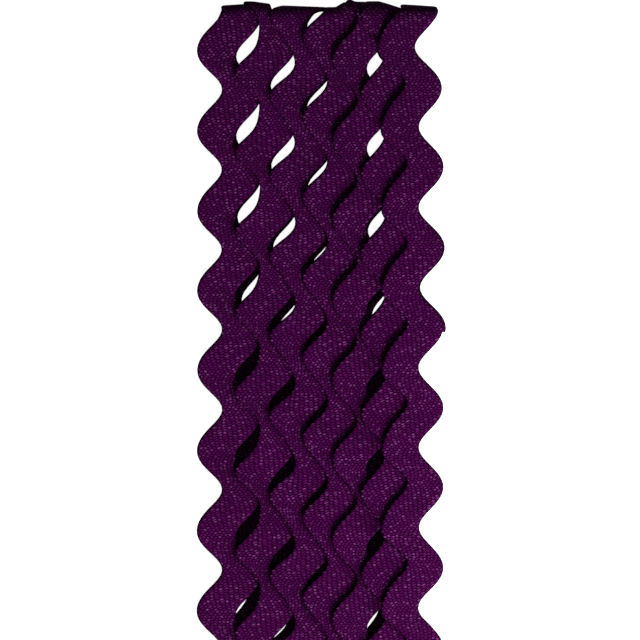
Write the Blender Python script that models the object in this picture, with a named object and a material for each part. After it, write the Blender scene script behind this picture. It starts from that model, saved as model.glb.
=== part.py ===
"""Ric rac trimming, one continuous wavy tape wound into a flat hank of seven lengths.

Metres, +Z up. The hank lies on its back: +X is across it, +Y along its lengths to the
end that shows, and the seven front lengths face up.
"""

import bpy
import bmesh
import numpy as np

MM = 0.001

# The woven tape
WAVE_PITCH = 16.5 * MM
WAVE_SWING = 2.58 * MM
RIGHT_FULLNESS = -0.06
TAPE_THICKNESS = 1.0 * MM

# The flat hank
HANK_LENGTH = 170.0 * MM
WINDOW_LENGTH = 26.0 * MM
LAYER_STEP = 1.33 * MM
INNER_FOLD_RADIUS = 0.68 * MM
LENGTH_TILT = 0.19
FOLD_REACH = 3.5 * MM
FOLD_WAVE_RUN = 0.3
HEIGHT_TREND = 0.0287
TAIL_SHARE = 0.40
PRESSED_FLAT = 0.35 * MM

# Facets
ROWS_PER_PITCH = 8
FOLD_SEGMENTS = 6

# Lengths from left to right: the middle line's place across the hank, how far below the
# top end the left edge first swings out to the left, the band's width across the hank,
# how much nearer the bottom the right edge's waves sit, how much fuller the left edge's
# outer lobes are, how much its waves lean, and the drift to the right per metre
LENGTH_COLUMNS = ("across", "swing_at", "width", "skew", "fullness", "lean", "drift")
LENGTH_TABLE = (
    (-18.60 * MM, 9.79 * MM, 8.04 * MM, 1.25 * MM, 0.08, 0.02, 0.000),
    (-11.14 * MM, 14.26 * MM, 7.54 * MM, 2.90 * MM, -0.19, 0.06, 0.000),
    (-3.79 * MM, 19.86 * MM, 7.79 * MM, 1.75 * MM, -0.09, -0.14, 0.000),
    (2.95 * MM, 7.58 * MM, 7.75 * MM, 2.00 * MM, -0.03, -0.08, 0.000),
    (8.80 * MM, 11.78 * MM, 7.21 * MM, 1.90 * MM, 0.06, 0.00, 0.000),
    (14.78 * MM, 2.25 * MM, 7.40 * MM, 3.00 * MM, -0.03, 0.04, 0.000),
    (18.08 * MM, 8.71 * MM, 7.64 * MM, 0.55 * MM, 0.13, 0.13, 0.047),
)
LAST_SHIFT = 2.5 * MM

TAPE_COLOUR = (0.13, 0.008, 0.14, 1.0)

TOP = HANK_LENGTH / 2
TOP_CENTRE = TOP - FOLD_REACH
BOTTOM_CENTRE = -TOP + FOLD_REACH
WINDOW_END = TOP - WINDOW_LENGTH


def length_rows():
    """The table's rows as dictionaries, and one more place that the tail drifts towards."""
    rows = [dict(zip(LENGTH_COLUMNS, row)) for row in LENGTH_TABLE]
    last = rows[-1]
    rows.append(dict(last, across=last["across"] + LAST_SHIFT))
    return rows


def layer_heights(rows):
    """How far each turn stands outside the first one, at the middle of the hank."""
    heights = [0.0]
    for before, after in zip(rows, rows[1:]):
        apart = LENGTH_TILT * (after["across"] - before["across"])
        heights.append(heights[-1] + max(LAYER_STEP, apart))
    reach = [row["across"] + row["width"] / 2 + WAVE_SWING for row in rows]
    right = [h - LENGTH_TILT * x for h, x in zip(heights, reach)]
    return [h - min(right) + INNER_FOLD_RADIUS for h in heights]


def eased(share):
    """A smooth change from 0 to 1."""
    share = min(max(share, 0.0), 1.0)
    return share * share * (3 - 2 * share)


def shifted(y):
    """Share of the step to the next place that a length at the back has made at y."""
    return eased((WINDOW_END - y) / (WINDOW_END - BOTTOM_CENTRE))


def swing(phase, fullness, lean=0.0):
    """The wave that an edge follows: a cosine, made fuller on one side or leaning over."""
    second = fullness * (1 - np.cos(2 * phase)) + lean * np.sin(2 * phase)
    return WAVE_SWING * (np.cos(phase) + second)


def edges_at(row, next_row, y, share):
    """The two edges' places across the hank at y."""
    turn = 2 * np.pi / WAVE_PITCH
    now = {key: row[key] + share * (next_row[key] - row[key]) for key in row}
    lag = (next_row["swing_at"] - row["swing_at"]) / WAVE_PITCH
    now["swing_at"] = row["swing_at"] + share * (lag - round(lag)) * WAVE_PITCH
    middle = now["across"] + now["drift"] * min(TOP - y, WINDOW_LENGTH)
    phase = turn * (TOP - y - now["swing_at"])
    left = middle - now["width"] / 2 - swing(phase, now["fullness"], now["lean"])
    right = middle + now["width"] / 2 - swing(phase - turn * now["skew"], RIGHT_FULLNESS)
    return left, right


def section(row, next_row, heights, centre, y, angle, share):
    """Four corners of the tape's section; angle 0 faces the front and 180 degrees the back.

    In a fold every point keeps its distance from the line x, centre, middle height, and
    that distance falls evenly from left to right, so the turns nest inside each other.
    """
    height = heights[0] + share * (heights[1] - heights[0])
    bend = np.sin(angle) * (1 + FOLD_WAVE_RUN * np.sin(angle) ** 2)
    level = y + (height - LENGTH_TILT * row["across"]) * bend * np.sign(centre)
    corners = []
    for x in edges_at(row, next_row, level, share):
        radius = height - LENGTH_TILT * x
        for side in (0.5, -0.5):
            r = radius + side * TAPE_THICKNESS
            out = r * np.sin(angle) * np.sign(centre)
            corners.append((x, y + out, HEIGHT_TREND * x + r * np.cos(angle)))
    left_out, left_in, right_out, right_in = corners
    return [left_out, right_out, right_in, left_in]


def tape_sections():
    """Sections along the whole tape, from its first cut end to its last."""
    rows = length_rows()
    heights = layer_heights(rows)
    steps = round((TOP_CENTRE - BOTTOM_CENTRE) / WAVE_PITCH * ROWS_PER_PITCH)
    levels = np.linspace(BOTTOM_CENTRE, TOP_CENTRE, steps + 1)
    folds = np.linspace(0, np.pi, FOLD_SEGMENTS + 1)[1:-1]
    tail_end = TOP_CENTRE - TAIL_SHARE * (TOP_CENTRE - BOTTOM_CENTRE)
    sections = []
    for i in range(len(LENGTH_TABLE)):
        row, following = rows[i], rows[i + 1]
        pair = (heights[i], heights[i + 1])
        for y in levels:
            sections.append(section(row, following, pair, TOP_CENTRE, y, 0.0, 0.0))
        for angle in folds:
            sections.append(section(row, following, pair, TOP_CENTRE, TOP_CENTRE, angle, 0.0))
        is_tail = i == len(LENGTH_TABLE) - 1
        for y in levels[::-1]:
            if is_tail and y < tail_end:
                break
            sections.append(section(row, following, pair, TOP_CENTRE, y, np.pi, shifted(y)))
        if is_tail:
            break
        for angle in folds[::-1]:
            part = section(
                following, following, (pair[1], pair[1]), BOTTOM_CENTRE, BOTTOM_CENTRE, angle, 0.0
            )
            sections.append(part)
    return np.array(sections)


def rested(sections):
    """Centres the hank over the origin and stands it on z = 0, its low edges pressed flat."""
    low = sections.min(axis=(0, 1))
    high = sections.max(axis=(0, 1))
    middle = (low + high) / 2
    moved = sections - (middle[0], middle[1], low[2] + PRESSED_FLAT)
    moved[:, :, 2] = np.maximum(moved[:, :, 2], 0.0)
    return moved


def loft(name, sections):
    """One closed body through sections of four corners each, with flat cut ends."""
    mesh = bmesh.new()
    rings = [[mesh.verts.new(corner) for corner in ring] for ring in sections]
    for near, far in zip(rings, rings[1:]):
        for k in range(4):
            n = (k + 1) % 4
            mesh.faces.new((near[k], near[n], far[n], far[k]))
    mesh.faces.new(rings[0][::-1])
    mesh.faces.new(rings[-1])
    bmesh.ops.triangulate(mesh, faces=mesh.faces[:], quad_method="SHORT_EDGE")
    bmesh.ops.recalc_face_normals(mesh, faces=mesh.faces[:])
    data = bpy.data.meshes.new(name)
    mesh.to_mesh(data)
    mesh.free()
    return bpy.data.objects.new(name, data)


def fabric(name):
    """The tape's cloth colour."""
    material = bpy.data.materials.new(name)
    material.use_nodes = True
    shader = material.node_tree.nodes["Principled BSDF"]
    shader.inputs["Base Color"].default_value = TAPE_COLOUR
    shader.inputs["Roughness"].default_value = 0.8
    return material


def build():
    for item in list(bpy.data.objects):
        bpy.data.objects.remove(item, do_unlink=True)
    group = bpy.data.collections.new("ric_rac_hank")
    bpy.context.scene.collection.children.link(group)
    tape = loft("ric_rac_tape", rested(tape_sections()))
    tape.data.materials.append(fabric("woven_tape"))
    group.objects.link(tape)


build()
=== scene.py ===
import math

import bpy
import numpy as np
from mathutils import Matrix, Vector


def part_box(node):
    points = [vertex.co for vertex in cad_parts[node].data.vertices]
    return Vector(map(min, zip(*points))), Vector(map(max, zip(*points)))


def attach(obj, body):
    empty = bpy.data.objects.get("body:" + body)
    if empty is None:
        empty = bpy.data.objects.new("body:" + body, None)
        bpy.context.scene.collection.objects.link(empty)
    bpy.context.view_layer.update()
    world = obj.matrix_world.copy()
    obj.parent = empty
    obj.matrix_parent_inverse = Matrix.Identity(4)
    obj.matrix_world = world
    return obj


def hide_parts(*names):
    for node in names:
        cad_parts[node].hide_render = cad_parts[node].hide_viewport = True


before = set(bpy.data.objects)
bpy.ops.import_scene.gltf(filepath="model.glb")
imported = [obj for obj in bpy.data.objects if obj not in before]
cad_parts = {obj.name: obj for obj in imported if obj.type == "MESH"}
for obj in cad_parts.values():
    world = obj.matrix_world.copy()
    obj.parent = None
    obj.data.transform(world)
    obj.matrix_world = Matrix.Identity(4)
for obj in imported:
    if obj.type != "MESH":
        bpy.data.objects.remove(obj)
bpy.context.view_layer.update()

mm = 0.001

# The tape, one long wavy band wound into a flat hank

tape = {
    "pitch": 16.5 * mm,  # one whole wave
    "swing": 2.58 * mm,
    "rightFullness": -0.06,
    "thickness": 0.86 * mm,
    "roundEdge": 0.7 * mm,
    "rowStep": 0.85 * mm,
    "foldRows": 24,
    "edgeWander": 0.10 * mm,
    "wanderRows": 7,  # the edges wander once in so many rows
    "ripple": 0.12 * mm,
    "rippleRows": 13,
    "places": (0, 0.02, 0.06, 0.12, 0.2, 0.3, 0.4, 0.5),  # points from an edge to the middle
}

hank = {
    "turns": 7,
    "length": 170.0 * mm,
    "window": 26.0 * mm,
    "layerStep": 1.33 * mm,
    "innerFold": 0.68 * mm,
    "tilt": 0.19,
    "foldReach": 3.5 * mm,
    "foldWaveRun": 0.3,
    "trend": 0.0287,
    "tailShare": 0.40,
    "pressed": 0.35 * mm,
    "foldedStep": 0.95 * mm,  # how far one fold's crest tucks under the next
    "tuckAfter": 0.4 * mm,  # the tuck begins so far inside the next length's left edge
    "tuckRun": 0.9 * mm,
    "highestCrest": 0.3 * mm,
    "cornerSharpness": 6,
    "tuftOn": 4,
    "tuftAcross": 6.3 * mm,
    "tuftWidth": 0.75 * mm,
    "tuftHeight": 0.55 * mm,
    "bumpOn": 3,
    "bumpFrom": 3.3 * mm,  # where the middle length's crest rises towards the next one
    "bumpRun": 1.9 * mm,
    "bumpHeight": 1.0 * mm,
}

# each length from left to right, and last the place that the tail drifts towards, in mm:
# across, first swing to the left below the top, width, the right edge's lag; then the left
# edge's fullness and lean, and the drift per mm; in mm again, how far the fold's crest is below
# the top at the middle line, how far its left and right corners spread; and the crest's slope
lengths = np.array(
    [
        (-18.60, 9.79, 8.04, 1.25, 0.08, 0.02, 0.000, 0.45, 0.2, 0.0, -0.06),
        (-11.14, 14.26, 7.54, 2.90, -0.19, 0.06, 0.000, 0.05, 0.6, 0.0, 0.14),
        (-3.79, 19.86, 7.79, 1.75, -0.09, -0.14, 0.000, 0.70, -1.3, 1.9, 0.04),
        (2.95, 7.58, 7.75, 2.00, -0.03, -0.08, 0.000, 0.90, 0.4, 0.0, 0.00),
        (8.80, 11.78, 7.21, 1.90, 0.06, 0.00, 0.000, -0.20, 0.6, 0.0, 0.00),
        (14.78, 2.25, 7.40, 3.00, -0.03, 0.04, 0.000, 0.42, 0.0, 0.0, 0.32),
        (18.08, 8.71, 7.64, 0.55, 0.13, 0.13, 0.047, 0.40, 0.0, 0.3, 0.06),
        (20.58, 8.71, 7.64, 0.55, 0.13, 0.13, 0.047, 0.40, 0.0, 0.0, 0.06),
    ]
)
across, swingAt, width, lag, fullness, lean, drift, crestAt = range(8)
spreadLeft, spreadRight, crestFall = range(8, 11)
lengths[:, [across, swingAt, width, lag, crestAt, spreadLeft, spreadRight]] *= mm
tableColumns = lengths.shape[1]
# more columns of a row of the tape
height, levelAt, angleAt, endAt, turnAt = range(tableColumns, tableColumns + 5)
rowColumns = tableColumns + 5
hankTop = hank["length"] / 2
topCentre = hankTop - hank["foldReach"]


def eased(share):
    share = np.clip(share, 0, 1)
    return share * share * (3 - 2 * share)


def turnHeights():
    # each turn lies one layer outside the one before it, measured at the hank's middle
    apart = np.maximum(hank["layerStep"], hank["tilt"] * np.diff(lengths[:, across]))
    heights = np.concatenate([[0.0], np.cumsum(apart)])
    right = heights - hank["tilt"] * (lengths[:, across] + lengths[:, width] / 2 + tape["swing"])
    return heights - right.min() + hank["innerFold"]


def tapeRows():
    # one row per step along the tape: up the front, over the top, down the back, round the bottom
    straight = 2 * topCentre
    levels = np.linspace(-topCentre, topCentre, round(straight / tape["rowStep"]) + 1)
    bend = np.linspace(0, math.pi, tape["foldRows"] + 1)[1:-1]
    heights = turnHeights()
    share = eased((hankTop - hank["window"] - levels) / (hankTop - hank["window"] + topCentre))
    step = np.diff(lengths, axis=0)
    step[:, swingAt] -= np.round(step[:, swingAt] / tape["pitch"]) * tape["pitch"]
    parts = []
    for i in range(hank["turns"]):
        front = np.zeros((len(levels), rowColumns))
        front[:, :tableColumns] = lengths[i]
        front[:, height], front[:, levelAt] = heights[i], levels
        front[:, endAt], front[:, turnAt] = 1, i
        over = np.repeat(front[-1:], len(bend), axis=0)
        over[:, angleAt] = bend
        back = front.copy()
        back[:, :tableColumns] += share[:, None] * step[i]
        back[:, height] += share * (heights[i + 1] - heights[i])
        back[:, angleAt] = math.pi
        back = back[::-1]
        parts += [front, over]
        if i == hank["turns"] - 1:
            parts.append(back[back[:, levelAt] > topCentre - hank["tailShare"] * straight])
            break
        under = np.zeros((len(bend), rowColumns))
        under[:, :tableColumns] = lengths[i + 1]
        under[:, height], under[:, levelAt] = heights[i + 1], -topCentre
        under[:, angleAt], under[:, endAt], under[:, turnAt] = bend[::-1], -1, i + 1
        parts += [back, under]
    return np.vstack(parts)


def smoothNoise(count, every, seed):
    # random values eased between every so many rows
    knots = np.random.default_rng(seed).uniform(-1, 1, count // every + 3)
    at = np.arange(count) / every
    low = at.astype(int)
    part = eased(at - low)
    return knots[low] * (1 - part) + knots[low + 1] * part


def waveSwing(phase, full, leaning=0.0):
    # swing x (cos(phase) + fullness x (1 - cos(2 phase)) + lean x sin(2 phase))
    second = full * (1 - np.cos(2 * phase)) + leaning * np.sin(2 * phase)
    return tape["swing"] * (np.cos(phase) + second)


def edgePlaces(rows, level):
    # middle line -/+ half the width - the wave, the right edge's wave lagging behind the left's
    turn = 2 * math.pi / tape["pitch"]
    middle = rows[:, across] + rows[:, drift] * np.minimum(hankTop - level, hank["window"])
    half = rows[:, width] / 2
    phase = turn * (hankTop - level - rows[:, swingAt])
    left = middle - half - waveSwing(phase, rows[:, fullness], rows[:, lean])
    right = middle + half - waveSwing(phase - turn * rows[:, lag], tape["rightFullness"])
    return left, right, phase


def crestBelowTop(i, x):
    # a straight crest, which tucks under the next length's crest where that one lies over it
    own = lengths[i, crestAt] + lengths[i, crestFall] * (x - lengths[i, across])
    own = np.maximum(own, -hank["highestCrest"])
    if i == hank["bumpOn"]:
        own -= hank["bumpHeight"] * eased((x - hank["bumpFrom"]) / hank["bumpRun"])
    if i == hank["tuftOn"]:
        own -= hank["tuftHeight"] * np.exp(-(((x - hank["tuftAcross"]) / hank["tuftWidth"]) ** 2))
    if i == hank["turns"] - 1:
        return own
    after = lengths[i + 1]
    turn = turnHeights()[i + 1] - hank["tilt"] * after[across]
    level = topCentre + turn * (1 + hank["foldWaveRun"])
    nextLeft = edgePlaces(lengths[i + 1 : i + 2], np.array([level]))[0][0] - after[spreadLeft]
    share = eased((x - nextLeft - hank["tuckAfter"]) / hank["tuckRun"])
    return own + share * np.maximum(crestBelowTop(i + 1, x) + hank["foldedStep"] - own, 0.0)


def tapeMesh():
    # section: a flat band with half-round edges, carried along the rows
    rows = tapeRows()
    angle, end = rows[:, angleAt], rows[:, endAt]
    bend = np.sin(angle) * (1 + hank["foldWaveRun"] * np.sin(angle) ** 2)
    level = rows[:, levelAt] + end * (rows[:, height] - hank["tilt"] * rows[:, across]) * bend
    left, right, phase = edgePlaces(rows, level)
    crest = np.where(end > 0, np.sin(angle) ** hank["cornerSharpness"], 0.0)
    left -= crest * rows[:, spreadLeft]
    right += crest * rows[:, spreadRight]
    left += tape["edgeWander"] * smoothNoise(len(rows), tape["wanderRows"], 3)
    right += tape["edgeWander"] * smoothNoise(len(rows), tape["wanderRows"], 4)
    half = np.array(tape["places"])
    acrossTop = np.concatenate([half, 1 - half[-2::-1]])
    ringAcross = np.concatenate([acrossTop, acrossTop[-2:0:-1]])
    inset = np.minimum(ringAcross, 1 - ringAcross) * lengths[0, width]
    full = np.sqrt(1 - np.clip(1 - inset / tape["roundEdge"], 0, 1) ** 2)
    side = np.where(np.arange(len(ringAcross)) < len(acrossTop), 1.0, -1.0)
    off = 0.5 * tape["thickness"] * full * side
    x = left[:, None] + (right - left)[:, None] * ringAcross[None, :]
    # the lobes curl a little, and the band bends softly along its length
    curl = np.cos(phase)[:, None] * (0.5 - ringAcross)[None, :] * tape["ripple"]
    soft = tape["ripple"] / 2 * smoothNoise(len(rows), tape["rippleRows"], 9)[:, None]
    radius = rows[:, height, None] - hank["tilt"] * x + curl + soft
    reach = radius.copy()
    for i in range(hank["turns"]):
        here = (rows[:, turnAt] == i) & (end > 0)
        reach[here] = hank["foldReach"] - tape["thickness"] / 2 - crestBelowTop(i, x[here])
    y = rows[:, levelAt, None] + (end * np.sin(angle))[:, None] * (reach + off[None, :])
    z = hank["trend"] * x + (radius + off[None, :]) * np.cos(angle)[:, None]
    points = np.stack([x, y, z], axis=2)
    # distance walked along the hank, the same for both edges, for the weave
    stepY, stepZ = np.diff(points[:, len(half) - 1, 1:], axis=0).T
    walked = np.concatenate([[0.0], np.cumsum(np.hypot(stepY, stepZ))])
    return points, ringAcross, walked


def placed(points):
    # the tape's own shift, as the solid has it: centred over the origin and resting on the surface
    low, high = (np.array(corner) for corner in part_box("ric_rac_tape"))
    own = points.reshape(-1, 3)
    shift = (low + high) / 2 - (own.min(0) + own.max(0)) / 2
    shift[1], shift[2] = 0.0, -own[:, 2].min() - hank["pressed"]
    moved = points + shift
    moved[:, :, 2] = np.maximum(moved[:, :, 2], 0.0)
    return moved, shift


def tapeObject():
    points, ringAcross, walked = tapeMesh()
    points, shift = placed(points)
    rowCount, ringCount = points.shape[:2]
    number = np.arange(rowCount * ringCount).reshape(rowCount, ringCount)
    near, far = number[:-1], number[1:]
    quads = np.stack([far, np.roll(far, -1, 1), np.roll(near, -1, 1), near], axis=2).reshape(-1, 4)
    faces = quads.tolist() + [number[0].tolist(), number[-1][::-1].tolist()]
    mesh = bpy.data.meshes.new("ricRacTape")
    mesh.from_pydata(points.reshape(-1, 3).tolist(), [], faces)
    vertexOf = np.zeros(len(mesh.loops), dtype=np.int32)
    mesh.loops.foreach_get("vertex_index", vertexOf)
    uv = np.stack([ringAcross[vertexOf % ringCount], walked[vertexOf // ringCount]], axis=1)
    layer = mesh.uv_layers.new(name="weave")
    layer.data.foreach_set("uv", uv.astype(np.float32).ravel())
    mesh.polygons.foreach_set("use_smooth", np.ones(len(mesh.polygons), dtype=bool))
    mesh.update()
    piece = bpy.data.objects.new("ricRacTape", mesh)
    bpy.context.scene.collection.objects.link(piece)
    return piece, shift


# The woven cloth's material

weave = {
    "lines": 9.5,  # stitches across the band
    "rowStep": 0.53 * mm,
    "wander": 0.22,  # how far a row of stitches waves up and down, in rows
    "stitchHalf": (0.46, 0.48),  # half a stitch, as a share of its column and row
    "stitchFill": 1.5,
    "glintRarity": 4.5,
    "edgeFrom": 0.466,  # where the painted shade along the edges begins, from the middle, as a share of the width
    "edgeRise": 45.0,
    "patchScale": 140.0,
    "patchDetail": 3.0,
    "patchShare": 0.75,
    "leastShare": 0.45,
    # painted shade: the hollows between the stitches are coloured darker than the stitch tops
    "shadeBetweenStitches": (0.017, 0.0004, 0.016),
    "stitch": (0.105, 0.0030, 0.101),
    # painted highlight on a few stitch tops
    "glint": (0.30, 0.060, 0.29),
    # painted shade along both edges of the band
    "edge": (0.004, 0.001, 0.004),
    "bump": 0.09 * mm,
    "bumpStrength": 0.8,
    "roughness": 0.9,
    "specular": 0.02,
}


def mathNode(tree, operation, first, second=None, third=None):
    node = tree.nodes.new("ShaderNodeMath")
    node.operation = operation
    for socket, value in zip(node.inputs, (first, second, third)):
        if value is None:
            continue
        if isinstance(value, (int, float)):
            socket.default_value = value
        else:
            tree.links.new(value, socket)
    return node.outputs[0]


def stitchGroup():
    # rows of oval stitches laid like bricks; across runs 0 to 1 and along is in metres
    group = bpy.data.node_groups.new("ricRacStitches", "ShaderNodeTree")
    face = group.interface
    face.new_socket(name="Weave", in_out="INPUT", socket_type="NodeSocketVector")
    for name in ("Lines", "Row Step", "Wander"):
        face.new_socket(name=name, in_out="INPUT", socket_type="NodeSocketFloat")
    for name in ("Stitch", "Height", "Glint", "Edge Shade"):
        face.new_socket(name=name, in_out="OUTPUT", socket_type="NodeSocketFloat")
    start = group.nodes.new("NodeGroupInput")
    end = group.nodes.new("NodeGroupOutput")
    split = group.nodes.new("ShaderNodeSeparateXYZ")
    group.links.new(start.outputs["Weave"], split.inputs[0])
    u, v = split.outputs[0], split.outputs[1]
    # row = v / row step + wander x sin(pi x lines x u)
    turned = mathNode(group, "MULTIPLY", u, math.pi)
    bow = mathNode(group, "SINE", mathNode(group, "MULTIPLY", turned, start.outputs["Lines"]))
    row = mathNode(group, "DIVIDE", v, start.outputs["Row Step"])
    row = mathNode(group, "MULTIPLY_ADD", bow, start.outputs["Wander"], row)
    rowNumber = mathNode(group, "FLOOR", row)
    rowPart = mathNode(group, "SUBTRACT", mathNode(group, "FRACT", row), 0.5)
    odd = mathNode(group, "MULTIPLY", mathNode(group, "MODULO", rowNumber, 2.0), 0.5)
    column = mathNode(group, "MULTIPLY_ADD", u, start.outputs["Lines"], odd)
    columnNumber = mathNode(group, "FLOOR", column)
    columnPart = mathNode(group, "SUBTRACT", mathNode(group, "FRACT", column), 0.5)
    cell = group.nodes.new("ShaderNodeCombineXYZ")
    group.links.new(columnNumber, cell.inputs[0])
    group.links.new(rowNumber, cell.inputs[1])
    chance = group.nodes.new("ShaderNodeTexWhiteNoise")
    chance.noise_dimensions = "3D"
    group.links.new(cell.outputs[0], chance.inputs["Vector"])
    # oval dome = 1 - (column part / half a stitch)^2 - (row part / half a stitch)^2, at least 0
    columnOff = mathNode(group, "DIVIDE", columnPart, weave["stitchHalf"][0])
    rowOff = mathNode(group, "DIVIDE", rowPart, weave["stitchHalf"][1])
    rowSquared = mathNode(group, "MULTIPLY", rowOff, rowOff)
    squared = mathNode(group, "MULTIPLY_ADD", columnOff, columnOff, rowSquared)
    dome = mathNode(group, "MAXIMUM", mathNode(group, "SUBTRACT", 1.0, squared), 0.0)
    filled = mathNode(group, "MULTIPLY", dome, weave["stitchFill"])
    stitch = mathNode(group, "MINIMUM", filled, 1.0)
    # painted highlight: a few stitches, picked at random, get a bright glint on their tops
    rare = mathNode(group, "POWER", chance.outputs["Value"], weave["glintRarity"])
    glint = mathNode(group, "MULTIPLY", mathNode(group, "POWER", dome, 2.0), rare)
    # painted shade: a thin dark line along both edges of the band
    rim = mathNode(group, "ABSOLUTE", mathNode(group, "SUBTRACT", u, 0.5))
    past = mathNode(group, "SUBTRACT", rim, weave["edgeFrom"])
    edge = mathNode(group, "MULTIPLY", past, weave["edgeRise"])
    edge = mathNode(group, "MINIMUM", mathNode(group, "MAXIMUM", edge, 0.0), 1.0)
    for name, value in (("Stitch", stitch), ("Height", dome), ("Glint", glint), ("Edge Shade", edge)):
        group.links.new(value, end.inputs[name])
    return group


def mixColour(tree, share, first, second):
    node = tree.nodes.new("ShaderNodeMix")
    node.data_type = "RGBA"
    tree.links.new(share, node.inputs["Factor"])
    for socket, value in zip((node.inputs[6], node.inputs[7]), (first, second)):
        if isinstance(value, tuple):
            socket.default_value = (*value, 1.0)
        else:
            tree.links.new(value, socket)
    return node.outputs[2]


def tapeMaterial(stitches):
    material = bpy.data.materials.new("wovenTape")
    material.use_nodes = True
    tree = material.node_tree
    shader = tree.nodes["Principled BSDF"]
    shader.inputs["Roughness"].default_value = weave["roughness"]
    shader.inputs["Specular IOR Level"].default_value = weave["specular"]
    uvMap = tree.nodes.new("ShaderNodeUVMap")
    uvMap.uv_map = "weave"
    group = tree.nodes.new("ShaderNodeGroup")
    group.node_tree = stitches
    tree.links.new(uvMap.outputs["UV"], group.inputs["Weave"])
    group.inputs["Lines"].default_value = weave["lines"]
    group.inputs["Row Step"].default_value = weave["rowStep"]
    group.inputs["Wander"].default_value = weave["wander"]
    place = tree.nodes.new("ShaderNodeTexCoord")
    patches = tree.nodes.new("ShaderNodeTexNoise")
    patches.inputs["Scale"].default_value = weave["patchScale"]
    patches.inputs["Detail"].default_value = weave["patchDetail"]
    tree.links.new(place.outputs["Object"], patches.inputs["Vector"])
    # random broad patches of tone, which scale how much of the lighter stitch colour shows
    patchiness = mathNode(tree, "MULTIPLY", patches.outputs["Fac"], weave["patchShare"])
    patchiness = mathNode(tree, "ADD", patchiness, weave["leastShare"])
    stitchShare = mathNode(tree, "MULTIPLY", group.outputs["Stitch"], patchiness)
    # painted shade: the hollows between stitches take the darker colour, the stitch tops the
    # lighter one
    colour = mixColour(tree, stitchShare, weave["shadeBetweenStitches"], weave["stitch"])
    # painted highlight: rare bright glints on the stitch tops
    colour = mixColour(tree, group.outputs["Glint"], colour, weave["glint"])
    # painted shade: a thin dark line along both edges of the band
    colour = mixColour(tree, group.outputs["Edge Shade"], colour, weave["edge"])
    tree.links.new(colour, shader.inputs["Base Color"])
    bump = tree.nodes.new("ShaderNodeBump")
    bump.inputs["Strength"].default_value = weave["bumpStrength"]
    bump.inputs["Distance"].default_value = weave["bump"]
    tree.links.new(group.outputs["Height"], bump.inputs["Height"])
    tree.links.new(bump.outputs["Normal"], shader.inputs["Normal"])
    return material


print("tape")
tapePiece, tapeShift = tapeObject()
tapePiece.data.materials.append(tapeMaterial(stitchGroup()))
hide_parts("ric_rac_tape")
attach(tapePiece, "root")

# Floor, light and camera

studio = {
    "pixel": 0.206 * mm,  # the size of one pixel of the picture at the tape
    "pixels": 640,  # the picture's width and height
    "hankTopAt": (319, 2),  # the pixel that the middle of the hank's top end is at
    "frontHeight": 8 * mm,
    "away": 2.0,
    "sensor": 36.0,
    "sky": 0.04,
    "overhead": 0.12,
    "key": 2.3,
    "keyAim": (-0.22, 0.82, -0.53),  # from the foot of the picture and a little from the right
    "keySoftness": 22.0,
    "strip": 0.42,
    "stripAt": (0.15, -0.08, 0.075),  # a long soft box beside the hank
    "stripAim": (-0.15, 0.04, -0.07),
    "stripSize": (0.05, 0.26),
    "floor": (0.93, 0.93, 0.93),
    "floorHalf": 3.0,
    "floorRoughness": 0.9,
    "floorGlow": 0.95,
}


def floorPiece():
    mesh = bpy.data.meshes.new("floor")
    half = studio["floorHalf"]
    corners = [(-half, -half, 0), (half, -half, 0), (half, half, 0), (-half, half, 0)]
    mesh.from_pydata(corners, [], [(0, 1, 2, 3)])
    floor = bpy.data.objects.new("floor", mesh)
    bpy.context.scene.collection.objects.link(floor)
    material = bpy.data.materials.new("paleFloor")
    material.use_nodes = True
    shader = material.node_tree.nodes["Principled BSDF"]
    shader.inputs["Base Color"].default_value = (*studio["floor"], 1.0)
    shader.inputs["Roughness"].default_value = studio["floorRoughness"]
    shader.inputs["Specular IOR Level"].default_value = 0.0
    shader.inputs["Emission Color"].default_value = (1.0, 1.0, 1.0, 1.0)
    shader.inputs["Emission Strength"].default_value = studio["floorGlow"]
    mesh.materials.append(material)
    floor.visible_diffuse = False


def placedLamp(name, kind, strength, aim, place=(0.0, 0.0, 1.0)):
    lamp = bpy.data.lights.new(name, kind)
    lamp.energy = strength
    holder = bpy.data.objects.new(name, lamp)
    holder.location = place
    holder.rotation_euler = Vector(aim).to_track_quat("-Z", "Y").to_euler()
    bpy.context.scene.collection.objects.link(holder)
    return lamp


def studioLight():
    world = bpy.data.worlds.new("studio")
    world.use_nodes = True
    world.node_tree.nodes["Background"].inputs["Color"].default_value = (1, 1, 1, 1)
    world.node_tree.nodes["Background"].inputs["Strength"].default_value = studio["sky"]
    bpy.context.scene.world = world
    overhead = placedLamp("overhead", "SUN", studio["overhead"], (0.0, 0.0, -1.0))
    overhead.angle = math.radians(studio["keySoftness"])
    key = placedLamp("key", "SUN", studio["key"], studio["keyAim"])
    key.angle = math.radians(studio["keySoftness"])
    strip = placedLamp("strip", "AREA", studio["strip"], studio["stripAim"], studio["stripAt"])
    strip.shape = "RECTANGLE"
    strip.size, strip.size_y = studio["stripSize"]


def photoCamera():
    lens = bpy.data.cameras.new("photoCamera")
    lens.sensor_width = studio["sensor"]
    lens.lens = studio["sensor"] * studio["away"] / (studio["pixels"] * studio["pixel"])
    lens.clip_end = 10 * studio["away"]
    camera = bpy.data.objects.new("photoCamera", lens)
    centre = studio["pixels"] / 2
    centreX = (centre - studio["hankTopAt"][0]) * studio["pixel"] + tapeShift[0]
    centreY = hankTop - (centre - studio["hankTopAt"][1]) * studio["pixel"]
    camera.location = (centreX, centreY, studio["away"] + studio["frontHeight"])
    bpy.context.scene.collection.objects.link(camera)
    bpy.context.scene.camera = camera


print("floor, light and camera")
floorPiece()
studioLight()
photoCamera()
bpy.context.scene.view_settings.view_transform = "Standard"
